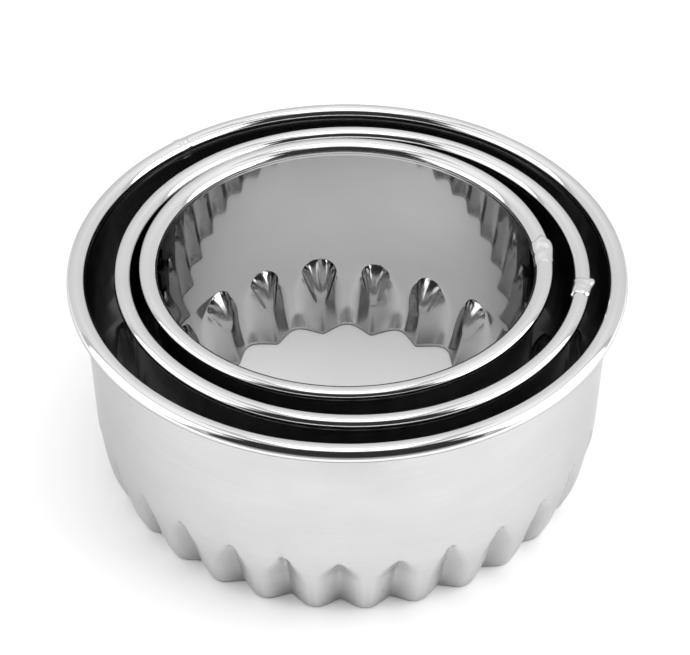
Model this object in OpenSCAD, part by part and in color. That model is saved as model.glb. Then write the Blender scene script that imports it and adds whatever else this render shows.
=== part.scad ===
// Nested set of three loose fluted dough cutters, standing one inside another.
// Each cutter is one strip of thin steel: rolled to a ring, its ends lapped and joined, its top
// edge curled outward to a round bead, and its lower edge crimped into flutes that make the
// wavy cutting edge. The strip is modelled in the stretches that a tinsmith would name.
// Origin: middle of the large cutter on the surface that the set stands on. +Z is up, -Y is front.

/* [Sheet and height] */
// Thickness of the steel strip
sheet_t = 0.45; // [0.3:0.05:0.6]
// Height of every cutter, from the cutting edge to the top of the bead
cutter_h = 42; // [34:1:60]

/* [Large cutter] */
// Outside diameter of the bead
large_rim_d = 95; // [85:0.5:120]
// Thickness of the curled bead
large_bead_d = 3; // [2.6:0.1:3.4]
// Number of flutes round the edge
large_flutes = 30; // [20:1:36]
// Depth of a fold at the cutting edge
large_fold = 2.2; // [1.2:0.1:2.6]
// How far the nose at the top of a fold stands out from the fold's line
large_nose = 0.2; // [0:0.1:1.2]
// Direction of the joint, counted from +X towards +Y
large_lap_at = 132; // [0:1:359]
// Width of the lapped end
large_lap_w = 2.6; // [1.5:0.1:8]
// Thickness of the lapped end, dressed down thin
large_lap_t = 0.2; // [0.1:0.05:0.5]

/* [Medium cutter] */
// Room between its bead and the inside of the large cutter
medium_room = 4.1; // [3:0.1:6]
// Thickness of the curled bead
medium_bead_d = 2.75; // [2.5:0.05:3.2]
// Number of flutes round the edge
medium_flutes = 24; // [16:1:30]
// Depth of a fold at the cutting edge
medium_fold = 2.3; // [1.2:0.1:2.5]
// How far the nose at the top of a fold stands out from the fold's line
medium_nose = 0.2; // [0:0.1:0.4]
// Direction of the joint, counted from +X towards +Y
medium_lap_at = 350; // [0:1:359]
// Width of the lapped end
medium_lap_w = 4; // [1.5:0.1:8]
// Thickness of the lapped end
medium_lap_t = 0.45; // [0.1:0.05:0.5]
// Share of its room by which it stands off the middle
medium_off = 0.23; // [0:0.01:0.6]
// Direction in which it stands off the middle
medium_off_at = 334; // [0:1:359]

/* [Small cutter] */
// Room between its bead and the inside of the medium cutter
small_room = 2.35; // [2.3:0.05:4]
// Thickness of the curled bead
small_bead_d = 2.9; // [2.6:0.05:3.2]
// Number of flutes round the edge
small_flutes = 18; // [12:1:24]
// Depth of a fold at the cutting edge
small_fold = 2.7; // [1.2:0.1:3.2]
// How far the nose at the top of a fold stands out from the fold's line
small_nose = 1; // [0:0.1:1.4]
// Direction of the joint, counted from +X towards +Y
small_lap_at = 3; // [0:1:359]
// Width of the lapped end
small_lap_w = 6; // [1.5:0.1:8]
// Thickness of the lapped end
small_lap_t = 0.3; // [0.1:0.05:0.5]
// Share of its room by which it stands off the medium cutter's middle
small_off = 0.82; // [0:0.01:0.84]
// Direction in which it stands off the medium cutter's middle
small_off_at = 124; // [0:1:359]

/* [Flutes] */
// Height at which the folds begin
flute_h = 15.4; // [11:0.2:20]
// How far the crests between the folds lean inward at the cutting edge
crest_lean = 2.85; // [1.5:0.05:3.5]
// Power of the lean: a higher one keeps it nearer to the cutting edge
lean_power = 2.5; // [1.5:0.1:3.5]
// Share of half a pitch that each rounded crest takes, the rest being straight flank
crest_round = 0.42; // [0.2:0.02:0.8]
// Distance below its point at which a fold reaches the full width of the pitch
arch_open = 8; // [4:0.5:12]
// Distance below its point in which a fold gains most of its depth
arch_onset = 1.5; // [0.8:0.1:3]
// Distance from the point of a fold down to the middle of its nose
nose_at = 3.2; // [2:0.1:5]
// Half the height and half the width of a nose
nose_reach = 3.1; // [2:0.1:5]
// Direction of the first fold on the large cutter
large_turn = 4.7; // [0:0.1:12]
// Direction of the first fold on the medium cutter
medium_turn = 2; // [0:0.1:15]
// Direction of the first fold on the small cutter
small_turn = 19.3; // [0:0.1:20]

/* [Curl and lap] */
// Slit between the curl's free edge and the wall
curl_slit = 0.15; // [0.1:0.05:0.3]
// Slit between the two layers of the lap
lap_slit = 0.03; // [0.02:0.01:0.05]

/* [Hidden] */
$fn = 96;

// Inside radius of each wall, worked out from the large bead inwards
large_in_r = large_rim_d / 2 - large_bead_d;
medium_in_r = large_in_r - medium_room - medium_bead_d;
small_in_r = medium_in_r - small_room - small_bead_d;

// Middles of the two inner cutters: loose in their room, each leaning its own way
medium_pos = medium_room * medium_off * [cos(medium_off_at), sin(medium_off_at)];
small_pos = medium_pos + small_room * small_off * [cos(small_off_at), sin(small_off_at)];

// Meshing of the crimped edge: columns across a fold and rows up it, with more rows for the
// small cutter, whose noses stand out furthest
fold_cols = 8;
fold_rows = 5;
small_fold_rows = 7;

// Room beyond a section, so that a cut runs clear through it
past = 1;

// ---- the crimped edge: radius of the sheet's outside, worked out by height and direction ----

// Heights are given as k: 0 at the cutting edge and 1 at the points where the folds begin.
// The rows crowd towards the top, where a fold turns in sharply.
function row_k(row, rows) = sin(90 * row / rows);

// A fold is a pointed arch: it opens from its point to the full width of the pitch.
function arch_width(below) = sin(90 * min(1, below / arch_open));

// Its depth is there almost at once, as the crimping tool leaves it.
function arch_depth(below) = 1 - exp(-pow(below / arch_onset, 1.5));

// Height of the flank: 1 on the fold's line, straight, then rounded to 0 on the crest beside it.
function flank(s) =
    let (slope = 1 / (1 - crest_round / 2))
    s >= 1 ? 0 : s < 1 - crest_round ? 1 - slope * s : slope * pow(1 - s, 2) / (2 * crest_round);

// Height of the nose at a distance along and a distance across its middle: a round pad.
function pad(along, across) =
    pow(max(0, 1 - (pow(along, 2) + pow(across, 2)) / pow(nose_reach, 2)), 0.7);

// Share of half a pitch between column col and the line of its fold.
function off_line(col) = let (c = col % fold_cols) min(c, fold_cols - c) / (fold_cols / 2);

// Inward reach of the sheet at height k and at share u of half a pitch from the fold's line.
function inward(k, u, half_pitch, fold, nose) =
    let (below = (1 - k) * flute_h)
    crest_lean * pow(1 - k, lean_power)
    + (k < 1 ? fold * arch_depth(below) * flank(u / arch_width(below)) : 0)
    + (k < 1 ? nose * pad(below - nose_at, u * half_pitch) : 0);

// One corner of the edge: out is 0 on the outside of the sheet and sheet_t on its inside.
function edge_point(wall_r, flutes, fold, nose, k, col, out) =
    let (
        r = wall_r - inward(k, off_line(col), PI * wall_r / flutes, fold, nose) - out,
        a = 360 * col / (flutes * fold_cols)
    )
    [r * cos(a), r * sin(a), k * flute_h];

// Crimped lower edge of a cutter whose wall has the given inside radius.
module fluted_edge(in_r, flutes, fold, nose, turn, rows = fold_rows) {
    n = flutes * fold_cols;
    inside = n * (rows + 1);
    wall_r = in_r + sheet_t;
    points = [
        for (out = [0, sheet_t], row = [0 : rows], col = [0 : n - 1])
            edge_point(wall_r, flutes, fold, nose, row_k(row, rows), col, out)
    ];
    outer_faces = [
        for (row = [0 : rows - 1], col = [0 : n - 1])
            let (a = row * n + col, b = row * n + (col + 1) % n)
            each [[a, a + n, b], [b, a + n, b + n]]
    ];
    inner_faces = [for (f = outer_faces) [f[2] + inside, f[1] + inside, f[0] + inside]];
    end_faces = [
        for (col = [0 : n - 1])
            let (a = col, b = (col + 1) % n, top = rows * n)
            each [
                [a, b, a + inside],
                [b, b + inside, a + inside],
                [a + top, a + top + inside, b + top],
                [b + top, a + top + inside, b + top + inside]
            ]
    ];
    rotate(turn)
        polyhedron(points = points, faces = concat(outer_faces, inner_faces, end_faces));
}

// Plain wall, from the top of the folds to the underside of the bead.
module plain_wall(in_r, bead_d) {
    translate([0, 0, flute_h])
        difference() {
            cylinder(h = cutter_h - bead_d - flute_h, r = in_r + sheet_t);
            translate([0, 0, -past])
                cylinder(h = cutter_h - bead_d - flute_h + 2 * past, r = in_r);
        }
}

// Section of a curl: a sheet of thickness t whose outside has radius r, round the middle of a
// bead at [mid, cutter_h - bead_r], going on down as a straight strip to the bead's underside.
// The curl ends a slit short of the wall, whose outside stands at wall_r.
module curl_section(mid, bead_r, r, t, wall_r) {
    mid_z = cutter_h - bead_r;
    difference() {
        translate([mid, mid_z])
            circle(r = r);
        translate([mid, mid_z])
            circle(r = r - t);
        translate([mid - r - past, mid_z - r - past])
            square([wall_r + curl_slit - mid + r + past, r + past]);
    }
    translate([mid - r, cutter_h - 2 * bead_r])
        square([t, bead_r]);
}

// Curled rim: the strip's top edge rolled outward into a hollow bead.
module curled_rim(in_r, bead_d) {
    rotate_extrude()
        curl_section(in_r + bead_d / 2, bead_d / 2, bead_d / 2, sheet_t, in_r + sheet_t);
}

// Turns a short stretch of the lap, of width w, to its place on the ring.
module lap_sweep(in_r, at, w) {
    sweep = w / in_r * 180 / PI;
    rotate(at - sweep / 2)
        rotate_extrude(angle = sweep)
            children();
}

// The lapped end where it wraps the bead as a collar.
module rim_lap(in_r, bead_d, at, w, t) {
    r = bead_d / 2 + lap_slit + t;
    lap_sweep(in_r, at, w)
        curl_section(in_r + bead_d / 2, bead_d / 2, r, t, in_r + sheet_t);
}

// The lapped end where it lies against the inside of the wall.
module wall_lap(in_r, bead_d, at, w, t) {
    lap_sweep(in_r, at, w)
        translate([in_r - lap_slit - t, flute_h])
            square([t, cutter_h - bead_d - flute_h]);
}

// ---- the three cutters ----

module large_wall() { color("gainsboro") plain_wall(large_in_r, large_bead_d); }
module large_fluted_edge() {
    color("silver") fluted_edge(large_in_r, large_flutes, large_fold, large_nose, large_turn);
}
module large_curled_rim() { color("whitesmoke") curled_rim(large_in_r, large_bead_d); }
module large_rim_lap() {
    color("darkgray") rim_lap(large_in_r, large_bead_d, large_lap_at, large_lap_w, large_lap_t);
}
module large_wall_lap() {
    color("lightgray") wall_lap(large_in_r, large_bead_d, large_lap_at, large_lap_w, large_lap_t);
}

module medium_wall() { color("gainsboro") translate(medium_pos) plain_wall(medium_in_r, medium_bead_d); }
module medium_fluted_edge() {
    color("silver") translate(medium_pos)
        fluted_edge(medium_in_r, medium_flutes, medium_fold, medium_nose, medium_turn);
}
module medium_curled_rim() {
    color("whitesmoke") translate(medium_pos) curled_rim(medium_in_r, medium_bead_d);
}
module medium_rim_lap() {
    color("darkgray") translate(medium_pos)
        rim_lap(medium_in_r, medium_bead_d, medium_lap_at, medium_lap_w, medium_lap_t);
}
module medium_wall_lap() {
    color("lightgray") translate(medium_pos)
        wall_lap(medium_in_r, medium_bead_d, medium_lap_at, medium_lap_w, medium_lap_t);
}

module small_wall() { color("gainsboro") translate(small_pos) plain_wall(small_in_r, small_bead_d); }
module small_fluted_edge() {
    color("silver") translate(small_pos)
        fluted_edge(small_in_r, small_flutes, small_fold, small_nose, small_turn, small_fold_rows);
}
module small_curled_rim() { color("whitesmoke") translate(small_pos) curled_rim(small_in_r, small_bead_d); }
module small_rim_lap() {
    color("darkgray") translate(small_pos)
        rim_lap(small_in_r, small_bead_d, small_lap_at, small_lap_w, small_lap_t);
}
module small_wall_lap() {
    color("lightgray") translate(small_pos)
        wall_lap(small_in_r, small_bead_d, small_lap_at, small_lap_w, small_lap_t);
}

large_wall();
large_fluted_edge();
large_curled_rim();
large_rim_lap();
large_wall_lap();
medium_wall();
medium_fluted_edge();
medium_curled_rim();
medium_rim_lap();
medium_wall_lap();
small_wall();
small_fluted_edge();
small_curled_rim();
small_rim_lap();
small_wall_lap();
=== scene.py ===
"""Nested set of three fluted dough cutters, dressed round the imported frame.

Every visible piece is a mesh made here from the same few sizes as the solids. The strips, their
curled beads and the lapped joints are swept round each ring, and steel materials finish them.
"""
import math
import random
from dataclasses import dataclass

import bmesh
import bpy
import numpy as np
from mathutils import Matrix, Vector


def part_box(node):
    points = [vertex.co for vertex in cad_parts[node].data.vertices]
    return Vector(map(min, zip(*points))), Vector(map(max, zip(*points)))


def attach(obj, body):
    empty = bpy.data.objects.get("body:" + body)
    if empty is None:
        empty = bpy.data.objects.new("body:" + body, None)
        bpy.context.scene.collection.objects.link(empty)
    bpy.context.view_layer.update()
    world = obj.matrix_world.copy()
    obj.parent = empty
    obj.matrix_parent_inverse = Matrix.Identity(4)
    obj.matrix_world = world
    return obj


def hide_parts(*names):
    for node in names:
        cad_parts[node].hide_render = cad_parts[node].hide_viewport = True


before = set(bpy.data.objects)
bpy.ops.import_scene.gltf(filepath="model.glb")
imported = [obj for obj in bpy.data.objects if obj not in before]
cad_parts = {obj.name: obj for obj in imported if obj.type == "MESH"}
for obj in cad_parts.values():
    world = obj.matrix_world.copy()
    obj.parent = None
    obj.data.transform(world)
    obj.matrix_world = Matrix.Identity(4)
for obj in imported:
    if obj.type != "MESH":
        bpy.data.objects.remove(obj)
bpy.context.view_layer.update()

MM = 0.001
TAU = 2 * math.pi

# ---- camera, worked out from the rims, walls and flutes seen in the photograph ----
IMAGE_W = 690
CAMERA_ELEVATION = 40.733
CAMERA_ROLL = 0.199
CAMERA_DISTANCE = 305.6 * MM
CAMERA_TARGET = Vector((-0.35 * MM, 0.0, 25.85 * MM))
CAMERA_NEAREST = 10 * MM
FOCAL_PIXELS = 1737.0
SENSOR_W = 36.0

# ---- sizes that all three cutters share, in millimetres ----
SHEET = 0.45
HEIGHT = 42.0
FLUTE_H = 15.4
CREST_LEAN = 2.85         # how far the crests lean in at the cutting edge
LEAN_POWER = 2.5          # how suddenly they do
CURL_SLIT = 0.15          # gap left between the bead's free edge and the wall


@dataclass
class Oval:
    """A bead's section as it was rolled, in millimetres and degrees."""

    wide: float           # half its width
    tall: float           # half its height
    tilt: float           # how far its inner side is tipped down
    drop: float           # how far its middle lies below the middle of a round bead


class Cutter:
    """Sizes of one ring and where it stands, in millimetres and degrees."""

    def __init__(self, name, in_r, bead_d, oval, flutes, fold, turn, seed):
        low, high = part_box(name + "_curled_rim")
        self.name = name
        self.body = name + "_cutter"
        self.middle = ((low[0] + high[0]) / 2 / MM, (low[1] + high[1]) / 2 / MM)
        self.in_r = in_r
        self.wall_r = in_r + SHEET
        self.bead_r = bead_d / 2
        self.wall_top = HEIGHT - bead_d
        self.oval = oval
        self.flutes = flutes      # how many
        self.fold = fold          # how deep the folds are at the cutting edge
        self.turn = turn          # direction of the first fold
        self.half_pitch = math.pi * self.wall_r / flutes
        self.draw = random.Random(seed)


LARGE = Cutter("large", in_r=44.5, bead_d=3.0, oval=Oval(1.60, 1.42, 12, 0.05),
               flutes=30, fold=2.2, turn=4.7, seed=11)
MEDIUM = Cutter("medium", in_r=37.65, bead_d=2.75, oval=Oval(1.47, 1.20, 16, 0.12),
                flutes=24, fold=2.3, turn=2.0, seed=12)
SMALL = Cutter("small", in_r=32.4, bead_d=2.9, oval=Oval(1.60, 1.10, 20, 0.30),
               flutes=18, fold=2.7, turn=19.3, seed=13)
CUTTERS = (LARGE, MEDIUM, SMALL)


# ---- meshes ----

def new_mesh(name, rings, faces, smooth_angle):
    """A closed mesh object from rows of points in millimetres, its faces turned outwards."""
    mesh = bpy.data.meshes.new(name)
    mesh.from_pydata([tuple(point) for point in rings.reshape(-1, 3) * MM], [], faces)
    work = bmesh.new()
    work.from_mesh(mesh)
    bmesh.ops.recalc_face_normals(work, faces=work.faces)
    work.to_mesh(mesh)
    work.free()
    mesh.polygons.foreach_set("use_smooth", [True] * len(mesh.polygons))
    mesh.set_sharp_from_angle(angle=math.radians(smooth_angle))
    piece = bpy.data.objects.new(name, mesh)
    bpy.context.scene.collection.objects.link(piece)
    return piece


def band_faces(rings, closed):
    """Faces between neighbouring rows of points, the last row joined to the first."""
    rows, cols = rings.shape[:2]
    faces = []
    for row in range(rows):
        upper = (row + 1) % rows
        for col in range(cols if closed else cols - 1):
            ahead = (col + 1) % cols
            corners = ((row, col), (row, ahead), (upper, ahead), (upper, col))
            faces.append([r * cols + c for r, c in corners])
    return faces


def closed_loft(rings):
    """Faces of a tube whose rows of points each run right round the ring."""
    return band_faces(rings, closed=True)


def closed_plate(rings):
    """Faces of a closed plate whose rows run out over its top and back under it."""
    rows, cols = rings.shape[:2]
    faces = band_faces(rings, closed=False)
    for row in range(rows // 2 - 1):
        back = rows - 1 - row
        for col, step in ((0, 1), (cols - 1, -1)):
            side = [row, row + 1, back - 1, back][::step]
            faces.append([r * cols + col for r in side])
    return faces


def on_ring(cutter, angle, radius, height):
    """Points at an angle in radians, a radius and a height, as arrays that fit together."""
    angle, radius, height = np.broadcast_arrays(angle, radius, height)
    x = cutter.middle[0] + radius * np.cos(angle)
    y = cutter.middle[1] + radius * np.sin(angle)
    return np.stack([x, y, height], axis=-1)


# ---- the crimped flutes ----

COLS_PER_FLUTE = {"large": 30, "medium": 36, "small": 48}
ROWS_UP_FLUTE = 44
ROWS_UP_WALL = 6
WALL_SMOOTH = 70          # sharpest bend that is shaded smoothly, in degrees
CREST_ROUND = 0.42        # share of half a pitch taken by the rounded crest at the cutting edge
LINE_ROUND = 0.05         # share of half a pitch over which a fold's line is rounded
CUT_ROUND = 0.14          # rounding of the cut edge
CUT_ROWS = ((0.0, 0.14), (0.04, 0.042))    # height and inset of the rows on that rounding
START_TALL = 0.8          # height over which a fold starts, below its top
BESIDE_TALL = 2.5         # height over which its line is rounder, above and below the nose
HOOK_TALL = 0.9           # height and width of the sideways hook at its top
HOOK_WIDE = 1.6
TEARDROP = 0.75           # how much a nose narrows towards its tip
FOOT_SHARE = 0.35         # share of a nose's dome that is its soft foot
GROOVE_WIDE = 0.3         # width of the dent down a nose, as a share of the nose's


@dataclass
class Nose:
    """The pad that the crimping tool's nose pressed out at the top of every fold, in millimetres."""

    stands: float         # how far it stands out from the fold
    wide: float           # half its width
    at: float             # its middle, below the top of the fold
    up: float             # its height above the middle
    down: float           # and below it, down to its tip
    tip: float            # half the width at which the fold starts, above the nose
    sudden: float         # power by which a fold deepens as it widens: 1 is gradual
    rounding: float       # how round the fold's line is beside the nose
    soft: float           # share of the flank that is rounded where it leaves the wall


NOSES = {
    "large": Nose(stands=0.35, wide=1.1, at=1.5, up=1.4, down=2.2, tip=0.9,
                  sudden=0.8, rounding=0.12, soft=0.85),
    "medium": Nose(stands=0.25, wide=1.8, at=2.2, up=2.0, down=3.0, tip=0.45,
                   sudden=0.5, rounding=0.4, soft=0.40),
    "small": Nose(stands=1.35, wide=3.3, at=3.3, up=3.05, down=5.3, tip=3.6,
                  sudden=2.0, rounding=0.7, soft=0.95),
}


class Folds:
    """One value for each flute, because no two were crimped alike."""

    def __init__(self, cutter):
        self.count = cutter.flutes
        self.draw = cutter.draw
        self.depth = self.each(0.90, 1.08)     # share of the cutter's depth of fold
        self.rise = self.each(-1.0, 0.1)       # how far its top stands above FLUTE_H
        self.skew = self.each(-0.05, 0.05)     # how far its line leans, as a share of a pitch
        self.nose = self.each(0.80, 1.05)      # size of its nose
        self.arch = self.each(7.0, 9.5)        # height over which it opens to its full width
        self.hook = self.each(-0.25, 0.25)     # sideways hook of its top
        self.soft = self.each(0.0, 0.15)       # how much more gradually it deepens
        self.groove = self.each(0.0, 0.12)     # depth of the dent down its nose, as a share
        for flute, own in OWN_FOLDS[cutter.name].items():
            for value, given in own.items():
                getattr(self, value)[flute] = given

    def each(self, low, high):
        return np.array([self.draw.uniform(low, high) for _ in range(self.count)])


# Flutes that the photograph shows plainly, counted from the first fold: what sets each apart.
OWN_FOLDS = {
    "large": {
        17: dict(rise=-1.6, hook=-0.3),
        18: dict(rise=-1.5, depth=1.0, hook=-0.25),
        19: dict(rise=-1.0, depth=1.02, skew=-0.02, hook=-0.2),
        20: dict(rise=-0.9, depth=0.98, hook=-0.25),
        21: dict(rise=-0.7, depth=1.0, hook=-0.6, nose=1.1),
        22: dict(rise=-0.6, depth=0.95, arch=5.6, soft=0.5, hook=0.0, nose=0.3),
        23: dict(rise=-0.6, depth=0.95, arch=5.8, soft=0.4, hook=0.05, nose=0.3),
    },
    "medium": {},
    "small": {
        1: dict(rise=-1.1, nose=0.84, skew=0.03),
        2: dict(rise=-1.4, nose=0.80, skew=0.04),
        3: dict(rise=-1.2, nose=0.86, skew=0.02),
        4: dict(rise=-0.4, nose=1.06, skew=0.0, groove=0.5),
        5: dict(rise=-0.3, nose=0.92, skew=0.02),
        6: dict(rise=-0.2, nose=0.95, skew=-0.04),
    },
}


def between_flutes(values, u, flute):
    """Values given at each fold line, blended smoothly over the crests between them."""
    other = (flute + np.where(u < 0, -1, 1)) % len(values)
    share = (1 - np.cos(np.pi * np.abs(u))) / 4
    return values[flute] * (1 - share) + values[other] * share


def flank(s, crest):
    """Height of a fold across its flank: 1 on its line, straight, then rounded to 0 at the crest."""
    slope = 1 / (1 - crest / 2)
    rounded = slope / (2 * crest) * np.clip(1 - s, 0, 1) ** 2
    return np.where(s < 1 - crest, 1 - slope * s, rounded)


def bump(distance, reach):
    """1 at no distance, fading to nothing well past the reach."""
    return np.exp(-(distance / reach) ** 2)


class Crimp:
    """The sheet's outside over the folds, as arrays of rows by columns."""

    def __init__(self, cutter, folds, nose):
        per = COLS_PER_FLUTE[cutter.name]
        cols = cutter.flutes * per
        column = np.arange(cols)
        flute = ((column + per // 2) // per) % cutter.flutes
        u = ((column + per // 2) % per - per // 2) / (per / 2)
        across = u * cutter.half_pitch
        even = np.linspace(0, 1, ROWS_UP_FLUTE)[:, None]
        closer_at_top = (even + np.sin(even * math.pi / 2)) / 2
        top = FLUTE_H + between_flutes(folds.rise, u, flute)
        lowest = np.array([height for height, _ in CUT_ROWS])[:, None] + 0 * u
        self.z = np.concatenate([lowest, CUT_ROUND + closer_at_top * (top - CUT_ROUND)])
        k = self.z / top
        below = top - self.z
        self.fold = self.pleat(folds, nose, flute, u, k, below, cutter.half_pitch)
        pad = self.pad(folds, nose, flute, across, below)
        lean = CREST_LEAN * (1 - k) ** LEAN_POWER
        depth = cutter.fold * folds.depth[flute] * self.fold
        self.radius = cutter.wall_r - lean - depth - pad
        skew = folds.skew[flute] * k * (1 - np.abs(u)) * cutter.half_pitch * 2
        hook = folds.hook[flute] * np.exp(-below / HOOK_TALL) * bump(across, HOOK_WIDE)
        self.angle = math.radians(cutter.turn) + column / cols * TAU + (skew + hook) / cutter.wall_r

    def pleat(self, folds, nose, flute, u, k, below, half_pitch):
        """The V of each fold: 1 on its line, 0 on the crests and on the plain wall."""
        opened = np.sin(np.clip(below / folds.arch[flute], 0, 1) * math.pi / 2)
        width = np.sqrt(opened ** 2 + (nose.tip / half_pitch) ** 2 * (1 - opened))
        depth = opened ** (nose.sudden + folds.soft[flute]) * (1 - bump(below, START_TALL))
        crest = CREST_ROUND + (nose.soft - CREST_ROUND) * k
        line = LINE_ROUND + (nose.rounding - LINE_ROUND) * bump(below - nose.at, BESIDE_TALL)
        s = np.clip(np.abs(u) / width, 0, 1)
        s = (np.sqrt(s ** 2 + line ** 2) - line) / (np.sqrt(1 + line ** 2) - line)
        return depth * flank(s, crest)

    def pad(self, folds, nose, flute, across, below):
        """The nose: a teardrop pad round its middle. Its shares are kept for the material."""
        size = folds.nose[flute]
        over = nose.at - below
        along = np.where(over > 0, over / nose.up, -over / nose.down) / size
        tail = np.where(over > 0, 0, np.clip(along, 0, 1))
        side = across / (nose.wide * size) / (1 - TEARDROP * tail)
        dome = np.clip(1 - side ** 2 - np.where(over > 0, along, 0) ** 2, 0, 1)
        foot = np.clip(dome / FOOT_SHARE, 0, 1)
        foot = foot ** 2 * (3 - 2 * foot)
        groove = 1 - folds.groove[flute] * foot * bump(side, GROOVE_WIDE)
        self.dome = dome * (1 - tail)
        self.fan = np.arctan2(across, over + nose.down)
        return nose.stands * size * dome * foot * (1 - tail ** 2) * groove


def sheet_normals(points):
    """Unit normals of a ring-closed grid of points, towards the outside of the ring."""
    round_it = np.roll(points, -1, axis=1) - np.roll(points, 1, axis=1)
    up_it = np.gradient(points, axis=0)
    normal = np.cross(round_it, up_it)
    for edge in (0, -1):
        normal[edge, :, 2] = 0
    return normal / np.linalg.norm(normal, axis=-1, keepdims=True)


def keep_values(mesh, name, values):
    """Stores a value at each point of the mesh, for its material to read."""
    mesh.attributes.new(name, "FLOAT", "POINT").data.foreach_set("value", np.ravel(values))


def crimped_wall(cutter, inside_look):
    """The plain wall and its crimped lower edge, as one sheet with both faces."""
    crimp = Crimp(cutter, Folds(cutter), NOSES[cutter.name])
    lower = on_ring(cutter, crimp.angle, crimp.radius, crimp.z)
    share = (np.arange(1, ROWS_UP_WALL + 1) / ROWS_UP_WALL)[:, None]
    height = crimp.z[-1] + share * (cutter.wall_top - crimp.z[-1])
    upper = on_ring(cutter, crimp.angle[-1], cutter.wall_r, height)
    skin = np.concatenate([lower, upper])
    normal = sheet_normals(skin)
    inset = np.zeros((len(skin), 1, 1))
    inset[:len(CUT_ROWS), 0, 0] = [rounding for _, rounding in CUT_ROWS]
    outside = skin - inset * normal
    inside = skin - (SHEET - inset) * normal
    rings = np.concatenate([outside, inside[::-1]])
    piece = new_mesh(cutter.name + "_crimped_wall", rings, closed_loft(rings), WALL_SMOOTH)
    for name, values in (("fold", crimp.fold), ("dome", crimp.dome), ("fan", crimp.fan)):
        full = np.concatenate([values, np.zeros(upper.shape[:2])])
        keep_values(piece.data, name, np.concatenate([full, full[::-1]]))
    piece.data.materials.append(OUTSIDE_STEEL)
    piece.data.materials.append(inside_look)
    inside_from = outside.shape[0] * outside.shape[1]
    for face in piece.data.polygons:
        face.material_index = int(min(face.vertices) >= inside_from)
    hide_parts(cutter.name + "_wall", cutter.name + "_fluted_edge")
    return piece


# ---- the curled bead ----

BEAD_COLS = 600
BEAD_SMOOTH = 50
CURL_STEPS = 60


def curl_line(cutter, inset):
    """Section of the curl from the top of the wall, over the tilted oval, to its free edge."""
    oval = cutter.oval
    tilt = math.radians(oval.tilt)
    reach = math.hypot(oval.wide * math.cos(tilt), oval.tall * math.sin(tilt))
    lag = math.atan2(oval.tall * math.sin(tilt), oval.wide * math.cos(tilt))
    free_edge = cutter.bead_r - SHEET - CURL_SLIT
    start = math.pi + math.acos(cutter.bead_r / (2 * reach - cutter.bead_r)) - lag
    end = -math.acos(-free_edge / reach) - lag
    middle = np.array([cutter.bead_r - reach, HEIGHT - cutter.bead_r - oval.drop])
    turn = np.array([[math.cos(tilt), -math.sin(tilt)], [math.sin(tilt), math.cos(tilt)]])
    points = [(-cutter.bead_r + inset, cutter.wall_top)]
    for at in np.linspace(start, end, CURL_STEPS):
        on_oval = np.array([oval.wide * math.cos(at), oval.tall * math.sin(at)])
        off = np.array([math.cos(at) / oval.wide, math.sin(at) / oval.tall])
        off /= np.linalg.norm(off)
        points.append(middle + turn @ (on_oval - inset * off))
    return np.array(points)


def curled_bead(cutter):
    """The rolled bead: the curled sheet's closed section, swept round the ring."""
    section = np.concatenate([curl_line(cutter, 0), curl_line(cutter, SHEET)[::-1]])
    angle = np.arange(BEAD_COLS) / BEAD_COLS * TAU
    radius = cutter.in_r + cutter.bead_r + section[:, :1]
    rings = on_ring(cutter, angle, radius, section[:, 1:])
    piece = new_mesh(cutter.name + "_curled_bead", rings, closed_loft(rings), BEAD_SMOOTH)
    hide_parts(cutter.name + "_curled_rim")
    return piece


# ---- the joints, where the strip's end wraps the bead ----

@dataclass
class Joint:
    """A dressed-down collar, in millimetres and degrees, and the lumps left on it."""

    at: float             # direction of its middle
    width: float          # along the bead
    thick: float          # how far it stands off the bead
    ragged: float         # unevenness of its two ends
    seam_stands: float    # how far the strip's end stands off the inside of the wall
    lumps: tuple          # (share along the width, share round the section, size as a share
                          # of the section's length, height)


JOINTS = {
    "large": Joint(132.0, width=2.4, thick=0.05, ragged=0.35, seam_stands=0.06, lumps=(
        (0.1, 0.24, 0.10, 0.18), (0.9, 0.58, 0.12, 0.22))),
    "medium": Joint(-10.3, width=4.2, thick=0.22, ragged=0.40, seam_stands=0.12, lumps=(
        (0.80, 0.55, 0.14, 0.40), (0.95, 0.62, 0.10, 0.30),
        (0.15, 0.20, 0.12, 0.12), (0.45, 0.24, 0.12, 0.14))),
    "small": Joint(2.6, width=6.0, thick=0.09, ragged=0.55, seam_stands=0.10, lumps=(
        (0.88, 0.24, 0.13, 0.34), (0.62, 0.22, 0.11, 0.30),
        (0.30, 0.23, 0.11, 0.24), (0.72, 0.56, 0.24, 0.42),
        (0.62, 0.34, 0.07, -0.12), (0.80, 0.40, 0.06, -0.12), (0.50, 0.42, 0.06, -0.1))),
}
COLLAR_COLS = 44
COLLAR_END = 0.10         # share of a collar's width over which each end is dressed down
COLLAR_THIN = 0.25        # share of its thickness left at the ends
COLLAR_UNEVEN = 0.45      # how much its thickness wanders
COLLAR_DENT = 0.1         # deepest dent below the bead's skin
COLLAR_SINK = 0.2         # how deep its underside lies in the bead's sheet
SECTION_LONG = 6.0        # length round a bead's section, in bead radii
SEAM_ROWS = 40
SEAM_COLS = 16
SEAM_SMOOTH = 40
SEAM_START = 0.6          # height above the flutes at which the strip's end shows
SEAM_EDGE = 0.5           # width over which its sides are dressed down
SEAM_THIN = 0.1           # share of its thickness left there
SEAM_RAGGED = 0.12        # unevenness of its sides
SEAM_SINK = 0.1           # how deep its underside lies in the wall
WANDER_LONG = 0.7         # how much of its longest wave an uneven line shows
WANDER_FADE = 0.4         # how quickly its shorter waves grow smaller
WANDER_FULL = 1.6         # about the most that its waves add up to


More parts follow.
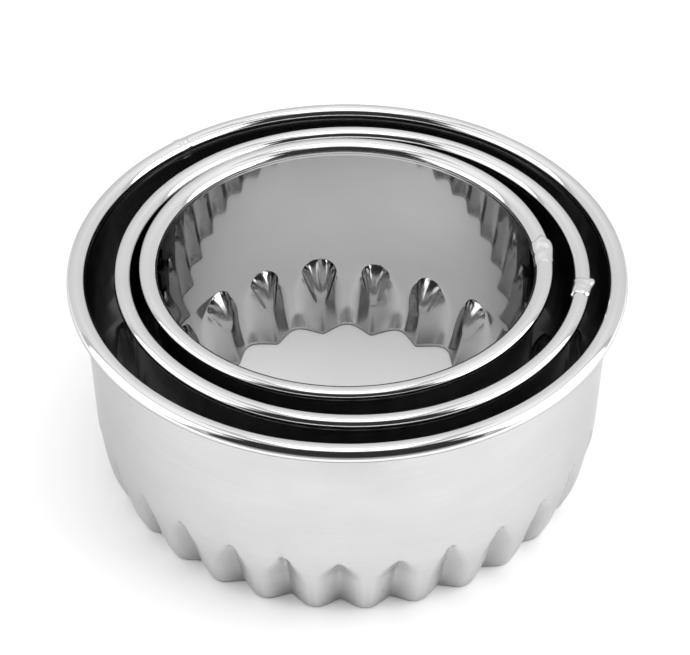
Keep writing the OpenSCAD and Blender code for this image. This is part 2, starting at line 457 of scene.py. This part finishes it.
def wander(draw, count, waves):
    """A smooth random line of values between about -1 and 1."""
    place = np.linspace(0, 1, count)
    line = np.zeros(count)
    for wave in range(1, waves + 1):
        size = draw.uniform(-1, 1)
        phase = draw.uniform(0, TAU)
        line += size * np.sin(TAU * wave * place * WANDER_LONG + phase) / wave ** WANDER_FADE
    return line / WANDER_FULL


def joint_collar(cutter):
    """The strip's end round the bead: a thin uneven collar with ragged ends."""
    joint = JOINTS[cutter.name]
    draw = random.Random(cutter.name)
    section = curl_line(cutter, 0)
    ahead = np.gradient(section, axis=0)
    off = np.stack([-ahead[:, 1], ahead[:, 0]], axis=-1)
    off /= np.linalg.norm(off, axis=-1, keepdims=True)
    rows = len(section)
    round_it = np.linspace(0, 1, rows)[:, None]
    along = np.linspace(0, 1, COLLAR_COLS)[None, :]
    window = np.clip(np.minimum(along, 1 - along) / COLLAR_END, 0, 1)
    full = np.sin(window * math.pi / 2)
    stand = joint.thick * (COLLAR_THIN + (1 - COLLAR_THIN) * full)
    uneven = np.outer(wander(draw, rows, waves=7), wander(draw, COLLAR_COLS, waves=6))
    stand = stand * (1 + COLLAR_UNEVEN * uneven)
    for at_along, at_round, size, height in joint.lumps:
        sideways = (along - at_along) * joint.width / cutter.bead_r
        apart = np.hypot(sideways, (round_it - at_round) * SECTION_LONG)
        stand = stand + height * window ** 0.5 * bump(apart, size * SECTION_LONG)
    stand = np.maximum(stand, -COLLAR_DENT)
    start = joint.ragged * wander(draw, rows, waves=8)[:, None]
    end = joint.ragged * wander(draw, rows, waves=8)[:, None]
    distance = -joint.width / 2 + start + along * (joint.width + end - start)
    angle = math.radians(joint.at) + distance / (cutter.in_r + cutter.bead_r)
    skins = []
    for lift in (stand, np.full_like(stand, -COLLAR_SINK)):
        radius = cutter.in_r + cutter.bead_r + section[:, :1] + off[:, :1] * lift
        skins.append(on_ring(cutter, angle, radius, section[:, 1:] + off[:, 1:] * lift))
    rings = np.concatenate([skins[0], skins[1][::-1]])
    piece = new_mesh(cutter.name + "_joint_collar", rings, closed_plate(rings), BEAD_SMOOTH)
    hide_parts(cutter.name + "_rim_lap")
    return piece


def wall_seam(cutter):
    """The strip's end on the inside of the wall: a thin plate whose sides are dressed down."""
    joint = JOINTS[cutter.name]
    draw = random.Random(cutter.name + " seam")
    z = np.linspace(FLUTE_H + SEAM_START, cutter.wall_top, SEAM_ROWS)[:, None]
    along = np.linspace(0, 1, SEAM_COLS)[None, :]
    sides = [SEAM_RAGGED * wander(draw, SEAM_ROWS, waves=8)[:, None] for _ in range(2)]
    distance = (along - 0.5) * joint.width + sides[0] * (1 - along) + sides[1] * along
    from_edge = np.clip(np.minimum(along, 1 - along) * joint.width / SEAM_EDGE, 0, 1)
    stands = joint.seam_stands * (SEAM_THIN + (1 - SEAM_THIN) * from_edge) + 0 * z
    angle = math.radians(joint.at) + distance / cutter.in_r
    sunk = np.full_like(stands, -SEAM_SINK)
    skins = [on_ring(cutter, angle, cutter.in_r - lift, z) for lift in (stands, sunk)]
    rings = np.concatenate([skins[0], skins[1][::-1]])
    piece = new_mesh(cutter.name + "_wall_seam", rings, closed_plate(rings), SEAM_SMOOTH)
    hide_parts(cutter.name + "_wall_lap")
    return piece


# ---- materials ----

class Graph:
    """Short ways to add nodes to a tree and join them up."""

    def __init__(self, tree):
        self.tree = tree

    def node(self, kind, settings=None, **inputs):
        """A node with its settings made and its named inputs set or linked."""
        made = self.tree.nodes.new("ShaderNode" + kind)
        for name, value in (settings or {}).items():
            setattr(made, name, value)
        for name, value in inputs.items():
            self.feed(made.inputs[name.replace("_", " ")], value)
        return made

    def feed(self, socket, value):
        """Links a socket into this one, or sets its value."""
        if isinstance(value, bpy.types.NodeSocket):
            self.tree.links.new(value, socket)
        else:
            socket.default_value = value

    def math(self, operation, *values):
        """A sum or other operation on its values."""
        made = self.node("Math", {"operation": operation})
        for socket, value in zip(made.inputs, values):
            self.feed(socket, value)
        return made.outputs[0]

    def times(self, *values):
        """The product of its values."""
        product = values[0]
        for value in values[1:]:
            product = self.math("MULTIPLY", product, value)
        return product

    def stretch(self, value, low, high, to_low=0.0, to_high=1.0):
        """value, taken from one range to another and held inside it."""
        made = self.node("MapRange", Value=value, From_Min=low, From_Max=high,
                         To_Min=to_low, To_Max=to_high)
        return made.outputs[0]

    def noise(self, vector, scale, detail=2.0, roughness=0.5):
        """Plain noise from 0 to 1, mostly near the middle."""
        made = self.node("TexNoise", Vector=vector, Scale=scale, Detail=detail, Roughness=roughness)
        return made.outputs[0]

    def scaled(self, vector, factors):
        """vector, stretched along each axis."""
        made = self.node("VectorMath", {"operation": "MULTIPLY"})
        self.feed(made.inputs[0], vector)
        made.inputs[1].default_value = factors
        return made.outputs[0]

    def place(self):
        """The point on the object, in metres."""
        return self.node("TexCoord").outputs["Object"]

    def kept(self, name):
        """A value that was kept at each point of the mesh."""
        return self.node("Attribute", {"attribute_name": name}).outputs["Fac"]


def effect_group(name, takes, gives):
    """A node group with float inputs and the outputs named: its graph, inputs and outputs."""
    tree = bpy.data.node_groups.new(name, "ShaderNodeTree")
    for socket, value in takes.items():
        made = tree.interface.new_socket(socket, in_out="INPUT", socket_type="NodeSocketFloat")
        made.default_value = value
    for socket, kind in gives.items():
        tree.interface.new_socket(socket, in_out="OUTPUT", socket_type="NodeSocket" + kind)
    graph_takes = tree.nodes.new("NodeGroupInput").outputs
    graph_gives = tree.nodes.new("NodeGroupOutput").inputs
    return Graph(tree), graph_takes, graph_gives


# how close the marks of rolling lie along each axis, in waves to the metre
FINE_LINES = (60, 60, 9000)
BROAD_BANDS = (25, 25, 1100)
SMUDGES = (90, 90, 120)
LINES_SHARE = 0.65        # how much of the grain is fine lines, and how much broad bands
BANDS_SHARE = 0.35
GRAIN_TONE = 0.24         # how far the grain and the smudges change the tone
SMUDGE_TONE = 0.10
GRAIN_ROUGH = 0.10        # and how far the roughness
SMUDGE_ROUGH = -0.10
GRAIN_DEEP = 1.2e-6       # relief of the grain, in metres


def rolled_grain():
    """Fine lines that rolling and brushing left round the ring, with broader bands and smudges."""
    graph, takes, gives = effect_group(
        "rolled_grain", {"Strength": 1.0}, {"Tone": "Float", "Roughness": "Float", "Normal": "Vector"})
    place = graph.place()
    lines = graph.noise(graph.scaled(place, FINE_LINES), 1.0, detail=3.0, roughness=0.7)
    bands = graph.noise(graph.scaled(place, BROAD_BANDS), 1.0)
    smudge = graph.noise(graph.scaled(place, SMUDGES), 1.0, detail=3.0)
    grain = graph.math("ADD", graph.times(lines, LINES_SHARE), graph.times(bands, BANDS_SHARE))
    grain = graph.times(graph.math("SUBTRACT", grain, 0.5), takes["Strength"])
    smudge = graph.math("SUBTRACT", smudge, 0.5)
    tone = graph.math("ADD", graph.times(grain, GRAIN_TONE), graph.times(smudge, SMUDGE_TONE))
    rough = graph.math("ADD", graph.times(grain, GRAIN_ROUGH), graph.times(smudge, SMUDGE_ROUGH))
    relief = graph.node("Bump", Strength=1.0, Distance=GRAIN_DEEP, Height=grain)
    graph.feed(gives["Tone"], graph.math("ADD", tone, 1.0))
    graph.feed(gives["Roughness"], rough)
    graph.feed(gives["Normal"], relief.outputs[0])
    return graph.tree


# heights here are in metres, and a fold is 0 deep on the plain wall and 1 on its own line
SHADE_AND_MARKS_TOP = 0.016         # height from which the painted shade, the painted arris highlight and the duller edge grow stronger towards the cutting edge
FOLD_SHADE_FULL = 0.8        # depth of fold from which its painted shade is full
FOLD_SHADE_ABOVE = 0.35      # how strong the painted shade in the folds is at that height; it grows by 1 to the edge
CUT_SHADE_LINE = (0.00045, 0.00020)     # heights at which the painted shade along the cut edge starts and is full
CUT_SHADE_STRENGTH = 0.8
ARRIS_FROM = (0.0, 0.02)  # depths of fold at which the painted highlight along a fold's arris starts and is full
ARRIS_TO = (0.10, 0.03)   # and those at which it has ended and is still full
ARRIS_HIGHLIGHT = 0.07
DOME_DULLER = 0.14        # what the noses, the lower edge and the folds add to the roughness
EDGE_DULLER = 0.06
FOLD_DULLER = 0.13
DULL_FULL = 0.3           # depth of fold from which it is fully dulled
PUCKERS = 42.0            # how close the puckers fan out over a nose, in radians to the radian
PUCKER_DRIFT = 5.0        # how unevenly they run, in radians
DRIFT_SCALE = 400.0       # and how often that changes, in waves to the metre
PUCKER_DOME = (0.05, 0.5)         # shares of the nose's dome at which they start and are full
PUCKER_DEEP = 0.7e-5      # their relief, in metres


def crimp_marks():
    """Painted shade in the folds, darker towards the cutting edge, painted shade along the cut edge, a
    painted highlight on each fold's arris, and the puckers of the noses.
    """
    graph, takes, gives = effect_group(
        "crimp_marks", {"Burnish": 0.3}, {"Tone": "Float", "Roughness": "Float", "Height": "Float"})
    fold, dome, fan = [graph.kept(name) for name in ("fold", "dome", "fan")]
    height = graph.node("SeparateXYZ", Vector=graph.place()).outputs["Z"]
    low = graph.stretch(height, SHADE_AND_MARKS_TOP, 0.0)
    strength = graph.math("ADD", low, FOLD_SHADE_ABOVE)
    # painted shade: darker along each fold's line, most near the cutting edge
    darker = graph.times(graph.stretch(fold, 0.0, FOLD_SHADE_FULL), strength, takes["Burnish"])
    # painted shade: a dark line along the cut edge, where it meets the floor
    cut_shade = graph.times(graph.stretch(height, *CUT_SHADE_LINE), CUT_SHADE_STRENGTH)
    tone = graph.math("SUBTRACT", 1.0, graph.math("MAXIMUM", darker, cut_shade))
    # painted highlight: lighter along each fold's arris, most near the cutting edge
    arris_highlight = graph.times(graph.stretch(fold, *ARRIS_FROM), graph.stretch(fold, *ARRIS_TO), low)
    tone = graph.math("MULTIPLY_ADD", arris_highlight, ARRIS_HIGHLIGHT, tone)
    dulled = graph.math("MAXIMUM", graph.times(dome, DOME_DULLER), graph.times(low, EDGE_DULLER))
    dulled = graph.math("MAXIMUM", dulled, graph.stretch(fold, 0.0, DULL_FULL, 0.0, FOLD_DULLER))
    drift = graph.times(graph.noise(graph.place(), DRIFT_SCALE), PUCKER_DRIFT)
    wave = graph.math("ADD", graph.times(fan, PUCKERS), drift)
    puckers = graph.times(graph.math("SINE", wave), graph.stretch(dome, *PUCKER_DOME))
    graph.feed(gives["Tone"], tone)
    graph.feed(gives["Roughness"], dulled)
    graph.feed(gives["Height"], puckers)
    return graph.tree


# the scratches are lines of a net; they and the spots show only where noise is high
SCRATCH_NET = 70.0        # cells of the net to the metre
SCRATCH_TURN = (0.5, 0.3, 0.8)    # how the net lies, in radians
SCRATCH_STRETCH = (1.0, 1.0, 3.0)
SCRATCH_FINE = 0.004      # half a line's width, as a share of a cell
SCRATCH_PATCHES = 120.0   # waves of the noise to the metre
SCRATCH_SHOWS = (0.60, 0.66)      # levels of the noise at which scratches start and are full
SCRATCH_DARKER = 0.12     # what a scratch takes from the tone
SPOTS = 420.0             # cells to the metre, each with one spot at most
SPOT_SIZE = (0.10, 0.04)  # radii at which a spot starts and is full, as shares of a cell
SPOT_PATCHES = 260.0
SPOT_SHOWS = (0.62, 0.68)
SPOT_DARKER = 0.25        # what a spot takes from the tone
SPOT_DULLER = 0.15        # and adds to the roughness


def handling():
    """A few fine scratches and dull spots from use."""
    graph, _, gives = effect_group("handling", {}, {"Scratch": "Float", "Spot": "Float"})
    place = graph.place()
    turned = graph.node("VectorRotate", {"rotation_type": "EULER_XYZ"}, Vector=place)
    turned.inputs["Rotation"].default_value = SCRATCH_TURN
    net = graph.node("TexVoronoi", {"feature": "DISTANCE_TO_EDGE"}, Scale=SCRATCH_NET,
                     Vector=graph.scaled(turned.outputs[0], SCRATCH_STRETCH))
    line = graph.stretch(net.outputs["Distance"], SCRATCH_FINE, 0.0)
    shows = graph.stretch(graph.noise(place, SCRATCH_PATCHES), *SCRATCH_SHOWS)
    graph.feed(gives["Scratch"], graph.times(line, shows))
    dots = graph.node("TexVoronoi", {"feature": "F1"}, Vector=place, Scale=SPOTS, Randomness=1.0)
    spot = graph.stretch(dots.outputs["Distance"], *SPOT_SIZE)
    shows = graph.stretch(graph.noise(place, SPOT_PATCHES), *SPOT_SHOWS)
    graph.feed(gives["Spot"], graph.times(spot, shows))
    return graph.tree


ROLLED_GRAIN = rolled_grain()
CRIMP_MARKS_AND_PAINTED_LIGHT = crimp_marks()
HANDLING = handling()
QUARTER_TURN = 0.25       # lays the stretch of the highlights across the grain


def new_material(name):
    """A material with no nodes yet, and its graph."""
    made = bpy.data.materials.new(name)
    made.use_nodes = True
    made.node_tree.nodes.clear()
    return made, Graph(made.node_tree)


def steel(name, reflects, roughness, stretch, grain, burnish=0.0, edge=1.0):
    """Stainless strip: its grain, its handling marks and, on a crimped sheet, painted shade in its
    folds and along its cut edge, with a painted highlight on their arrises.

    stretch is how far its highlights are drawn out across the grain, and edge how much of its
    reflection is left where it is seen at a slant.
    """
    made, graph = new_material(name)
    lines = graph.node("Group", {"node_tree": ROLLED_GRAIN}, Strength=grain)
    marks = graph.node("Group", {"node_tree": HANDLING})
    tone = graph.times(lines.outputs["Tone"], reflects)
    for mark, darker in (("Spot", SPOT_DARKER), ("Scratch", SCRATCH_DARKER)):
        taken = graph.times(marks.outputs[mark], darker)
        tone = graph.times(tone, graph.math("SUBTRACT", 1.0, taken))
    rough = graph.math("ADD", lines.outputs["Roughness"], roughness)
    rough = graph.math("ADD", rough, graph.times(marks.outputs["Spot"], SPOT_DULLER))
    normal = lines.outputs["Normal"]
    # on a crimped sheet: painted shade in the folds and along the cut edge, and a painted highlight on
    # the arrises
    if burnish:
        crimp = graph.node("Group", {"node_tree": CRIMP_MARKS_AND_PAINTED_LIGHT}, Burnish=burnish)
        tone = graph.times(tone, crimp.outputs["Tone"])
        rough = graph.math("ADD", rough, crimp.outputs["Roughness"])
        pucker = graph.node("Bump", Strength=1.0, Distance=PUCKER_DEEP,
                            Height=crimp.outputs["Height"], Normal=normal)
        normal = pucker.outputs[0]
    tangent = graph.node("Tangent", {"direction_type": "RADIAL", "axis": "Z"})
    metal = graph.node("BsdfPrincipled", Base_Color=tone, Roughness=rough, Normal=normal,
                       Tangent=tangent.outputs[0])
    metal.inputs["Metallic"].default_value = 1.0
    metal.inputs["Anisotropic"].default_value = stretch
    metal.inputs["Anisotropic Rotation"].default_value = QUARTER_TURN
    metal.inputs["Specular Tint"].default_value = (edge, edge, edge, 1)
    graph.node("OutputMaterial", Surface=metal.outputs[0])
    return made


OUTSIDE_STEEL = steel("satin_sheet", reflects=0.62, roughness=0.17, stretch=0.85, grain=1.0,
                      burnish=0.30, edge=0.75)
INSIDE_STEEL = steel("rolled_inside", reflects=0.60, roughness=0.05, stretch=0.7, grain=0.35,
                     burnish=0.24, edge=0.25)
# a darker, rougher copy of the inside steel for the large and medium rings: painted shade on the walls
# that face the gaps between the rings
SHADED_INSIDE = steel("dull_inside", reflects=0.54, roughness=0.12, stretch=0.8, grain=0.6,
                    burnish=0.3, edge=0.55)
BEAD = steel("polished_bead", reflects=0.83, roughness=0.10, stretch=0.6, grain=0.4, edge=0.5)
JOINT = steel("joint_metal", reflects=0.80, roughness=0.18, stretch=0.0, grain=0.5, edge=0.7)


# ---- camera and stage, in metres ----

FLOOR_HALF = 2.0
FLOOR_COLOUR = 0.97
FLOOR_GLOW = 0.08
TENT_SIDES = 0.78         # brightness of the tent's walls and of its top
TENT_TOP = 1.15
TENT_WALLS_END = 0.6      # heights between which the walls turn into the top
TENT_TOP_STARTS = 0.98
LAMPS_AIM = (0, 0, 0.03)
SIDE_BOX_X = 0.42         # how far to its side each side box stands
SIDE_BOX_Y = -0.08
SIDE_BOX_Z = 0.20
TOP_BOX_Z = 0.60
FRAME_WIDE = 0.07         # the grey frame round each soft box
FRAME_LEVEL = 0.55
FRAME_BEHIND = 0.01
CARD_Z = 0.001            # height at which a card lies over the floor
DIM_FROM = -0.092         # where the table in front of the rings turns dim, turns dark and ends
DARK_FROM = -0.17
TABLE_END = -0.40
ROOM_TOP = (-0.24, 0.80)  # the dark room rises from there and leans over the table to this edge


def place_camera():
    """The camera at the photograph's viewing angle."""
    data = bpy.data.cameras.new("camera")
    camera = bpy.data.objects.new("camera", data)
    bpy.context.scene.collection.objects.link(camera)
    data.sensor_fit = "HORIZONTAL"
    data.sensor_width = SENSOR_W
    data.lens = FOCAL_PIXELS / IMAGE_W * SENSOR_W
    data.clip_start = CAMERA_NEAREST
    slope = math.radians(CAMERA_ELEVATION)
    ahead = Vector((0, math.cos(slope), -math.sin(slope)))
    level = Vector((1, 0, 0))
    roll = math.radians(CAMERA_ROLL)
    right = math.cos(roll) * level + math.sin(roll) * level.cross(ahead)
    up = right.cross(ahead)
    turn = Matrix((right, up, -ahead)).transposed().to_4x4()
    camera.matrix_world = Matrix.Translation(CAMERA_TARGET - CAMERA_DISTANCE * ahead) @ turn
    bpy.context.scene.camera = camera


def flat_card(name, corners, look):
    """One flat face with its material."""
    mesh = bpy.data.meshes.new(name)
    mesh.from_pydata(corners, [], [(0, 1, 2, 3)])
    mesh.materials.append(look)
    card = bpy.data.objects.new(name, mesh)
    bpy.context.scene.collection.objects.link(card)
    return card


def card_corners(half, near, far):
    """Corners of a card this far to each side of the middle, between two edges (y, z)."""
    return [(-half, *near), (half, *near), (half, *far), (-half, *far)]


def lay_floor():
    """A white floor that stays white round the object and keeps its shadow."""
    paper, graph = new_material("white_paper")
    ray = graph.node("LightPath").outputs
    seen = graph.math("MAXIMUM", ray["Is Camera Ray"], ray["Is Glossy Ray"])
    seen = graph.math("MAXIMUM", seen, ray["Is Transmission Ray"])
    sheet = graph.node("BsdfDiffuse", Color=(FLOOR_COLOUR, FLOOR_COLOUR, FLOOR_COLOUR, 1))
    white = graph.node("Emission")
    mix = graph.node("MixShader")
    shares = (graph.times(seen, FLOOR_GLOW), sheet.outputs[0], white.outputs[0])
    for socket, value in zip(mix.inputs, shares):
        graph.feed(socket, value)
    graph.node("OutputMaterial", Surface=mix.outputs[0])
    corners = card_corners(FLOOR_HALF, near=(-FLOOR_HALF, 0), far=(FLOOR_HALF, 0))
    floor = flat_card("floor", corners, paper)


def hang_tent():
    """The pale tent round the table, as a world that is lightest overhead."""
    world = bpy.data.worlds.new("tent")
    world.use_nodes = True
    graph = Graph(world.node_tree)
    outwards = graph.node("TexCoord").outputs["Generated"]
    height = graph.node("SeparateXYZ", Vector=outwards).outputs["Z"]
    cloth = world.node_tree.nodes["Background"]
    cloth.inputs["Color"].default_value = (1, 1, 1, 1)
    lit = graph.stretch(height, TENT_WALLS_END, TENT_TOP_STARTS, TENT_SIDES, TENT_TOP)
    graph.feed(cloth.inputs["Strength"], lit)
    bpy.context.scene.world = world


def mirrored_card(name, corners, level):
    """A card that only the metal mirrors: a lamp's frame, the dim table or the dark room."""
    look, graph = new_material(name)
    glow = graph.node("Emission", Strength=level)
    graph.node("OutputMaterial", Surface=glow.outputs[0])
    card = flat_card(name, corners, look)
    card.visible_camera = False
    card.visible_diffuse = False
    card.visible_shadow = False


def soft_box(name, place, wide, high, brightness):
    """A rectangular soft box in its grey frame. Its power comes from its brightness and its face."""
    lamp = bpy.data.lights.new(name, "AREA")
    lamp.shape = "RECTANGLE"
    lamp.size, lamp.size_y = wide, high
    lamp.energy = brightness * math.pi * wide * high
    box = bpy.data.objects.new(name, lamp)
    bpy.context.scene.collection.objects.link(box)
    place, aim = Vector(place), Vector(LAMPS_AIM)
    box.location = place
    box.rotation_euler = (aim - place).to_track_quat("-Z", "Y").to_euler()
    box.visible_camera = False
    turn = box.matrix_basis.to_3x3()
    behind = place + (place - aim).normalized() * FRAME_BEHIND
    sideways = (wide / 2 + FRAME_WIDE) * (turn @ Vector((1, 0, 0)))
    upwards = (high / 2 + FRAME_WIDE) * (turn @ Vector((0, 1, 0)))
    corners = [behind + x * sideways + y * upwards for x, y in ((-1, -1), (1, -1), (1, 1), (-1, 1))]
    mirrored_card(name + "_frame", corners, FRAME_LEVEL)


# ---- the set, piece by piece ----

place_camera()

for cutter in CUTTERS:
    # the large and medium rings take the darker inside copy, as painted shade in the gaps between the
    # rings
    inside_look = INSIDE_STEEL if cutter is SMALL else SHADED_INSIDE
    wall = crimped_wall(cutter, inside_look)
    bead = curled_bead(cutter)
    bead.data.materials.append(BEAD)
    collar = joint_collar(cutter)
    collar.data.materials.append(JOINT)
    for piece, slot in ((wall, "satin_sheet"), (bead, "polished_curl"), (collar, "joint_metal")):
        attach(piece, cutter.body)
    seam = wall_seam(cutter)
    seam.data.materials.append(inside_look)
    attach(seam, cutter.body)

lay_floor()
hang_tent()
for name, side, brightness in (("right_box", 1, 3.1), ("left_box", -1, 1.3)):
    place = (side * SIDE_BOX_X, SIDE_BOX_Y, SIDE_BOX_Z)
    soft_box(name, place, wide=0.42, high=0.44, brightness=brightness)
soft_box("top_box", (0, 0, TOP_BOX_Z), wide=0.26, high=0.36, brightness=1.3)
dim_table = card_corners(0.30, near=(DARK_FROM, CARD_Z), far=(DIM_FROM, CARD_Z))
dark_table = card_corners(0.40, near=(TABLE_END, CARD_Z), far=(DARK_FROM, CARD_Z))
dark_room = card_corners(0.42, near=(TABLE_END, 0), far=ROOM_TOP)
mirrored_card("dim_table", dim_table, level=0.52)
mirrored_card("dark_table", dark_table, level=0.25)
mirrored_card("dark_room", dark_room, level=0.03)

bpy.context.scene.view_settings.view_transform = "Standard"
